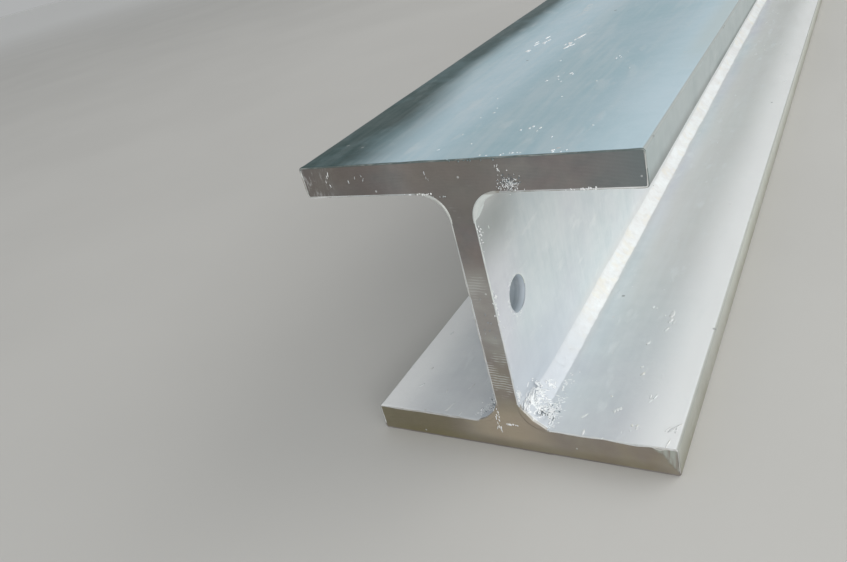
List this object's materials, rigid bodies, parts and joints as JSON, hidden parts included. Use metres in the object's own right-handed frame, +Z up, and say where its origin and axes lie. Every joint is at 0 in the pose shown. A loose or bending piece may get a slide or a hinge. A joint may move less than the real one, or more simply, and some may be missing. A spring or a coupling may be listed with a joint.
{
  "type": "galvanised steel H-beam",
  "caption": "Wide-flange steel beam with root fillets, square-cut ends and a round hole through the web near each end.",
  "frame": {"origin": "middle of the beam's length, on the underside of the bottom flange, under the web", "axes": "+Z up, across the flanges' faces; Y along the beam; X across the flanges, square to the web"},
  "size_m": [0.2, 3, 0.196],
  "materials": {
    "galvanised_steel": "satin"
  },
  "bodies": {
    "root": {"h_beam": "galvanised_steel"}
  },
  "joints": []
}
